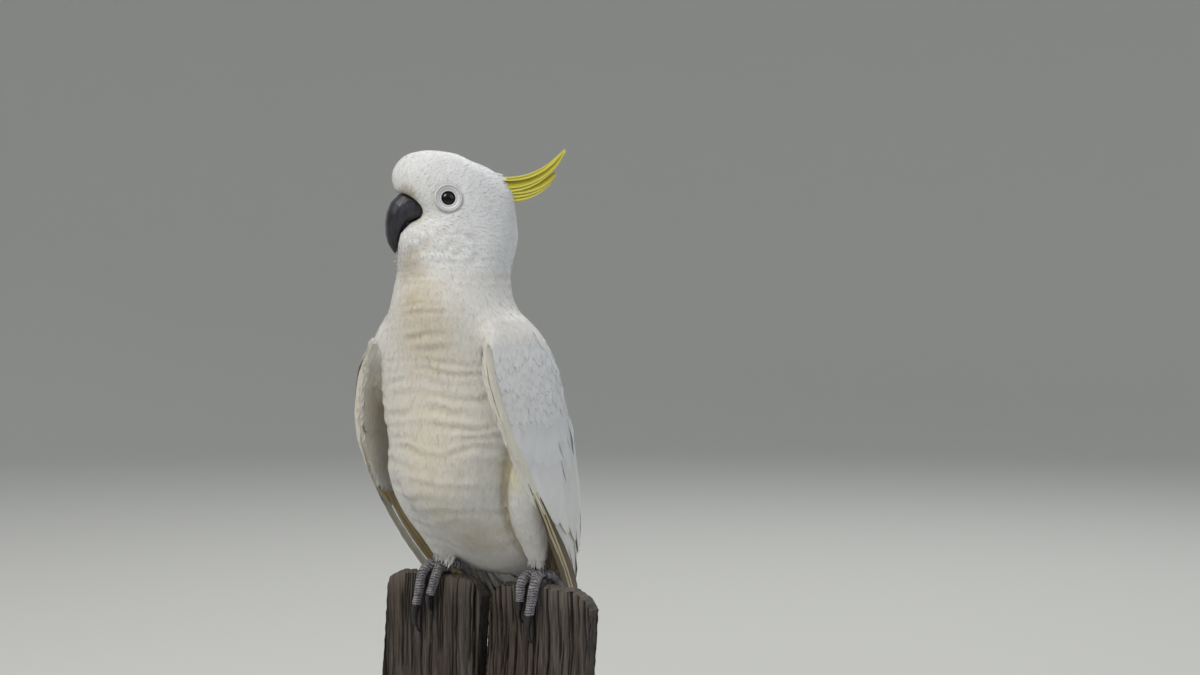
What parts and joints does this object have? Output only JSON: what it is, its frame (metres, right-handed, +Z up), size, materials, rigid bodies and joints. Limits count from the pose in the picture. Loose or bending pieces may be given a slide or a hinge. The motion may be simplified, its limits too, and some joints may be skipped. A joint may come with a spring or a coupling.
{
  "type": "cockatoo",
  "caption": "Life-size perched parrot with a folded-back yellow crest, hooked dark bill and white plumage, gripping a cut length of weathered fence on a plain stand.",
  "frame": {"origin": "centre of the stand base's underside", "axes": "+Z up, -Y the way the bird's body faces, so +X is its left side; the perch runs along X"},
  "size_m": [0.22, 0.19, 0.4875],
  "materials": {
    "plumage_white": "soft matte feathers, creamy white",
    "plumage_yellow": "soft matte feathers, sulphur yellow",
    "horn_dark": "grey-black horn with a powdery bloom",
    "bare_skin": "scaly grey skin",
    "eyelid_skin": "fine wrinkled pale blue-grey skin",
    "eye": "wet dark brown",
    "weathered_wood": "rough grey-brown, cracked along the grain",
    "stand_paint": "satin black powder coat"
  },
  "bodies": {
    "root": {"bill_lower": "horn_dark", "bill_upper": "horn_dark", "claw_left_inner_back": "horn_dark", "claw_left_inner_front": "horn_dark", "claw_left_outer_back": "horn_dark", "claw_left_outer_front": "horn_dark", "claw_right_inner_back": "horn_dark", "claw_right_inner_front": "horn_dark", "claw_right_outer_back": "horn_dark", "claw_right_outer_front": "horn_dark", "crest": "plumage_yellow", "eye_left": "eye", "eye_right": "eye", "eyelid_left": "eyelid_skin", "eyelid_right": "eyelid_skin", "foot_left": "bare_skin", "foot_right": "bare_skin", "head": "plumage_white", "neck": "plumage_white", "perch_paling_left": "weathered_wood", "perch_paling_right": "weathered_wood", "perch_rail": "weathered_wood", "stand_base": "stand_paint", "stand_rod_left": "stand_paint", "stand_rod_right": "stand_paint", "tail": "plumage_white", "thigh_left": "plumage_white", "thigh_right": "plumage_white", "trunk": "plumage_white", "wing_left": "plumage_white", "wing_right": "plumage_white"}
  },
  "joints": []
}
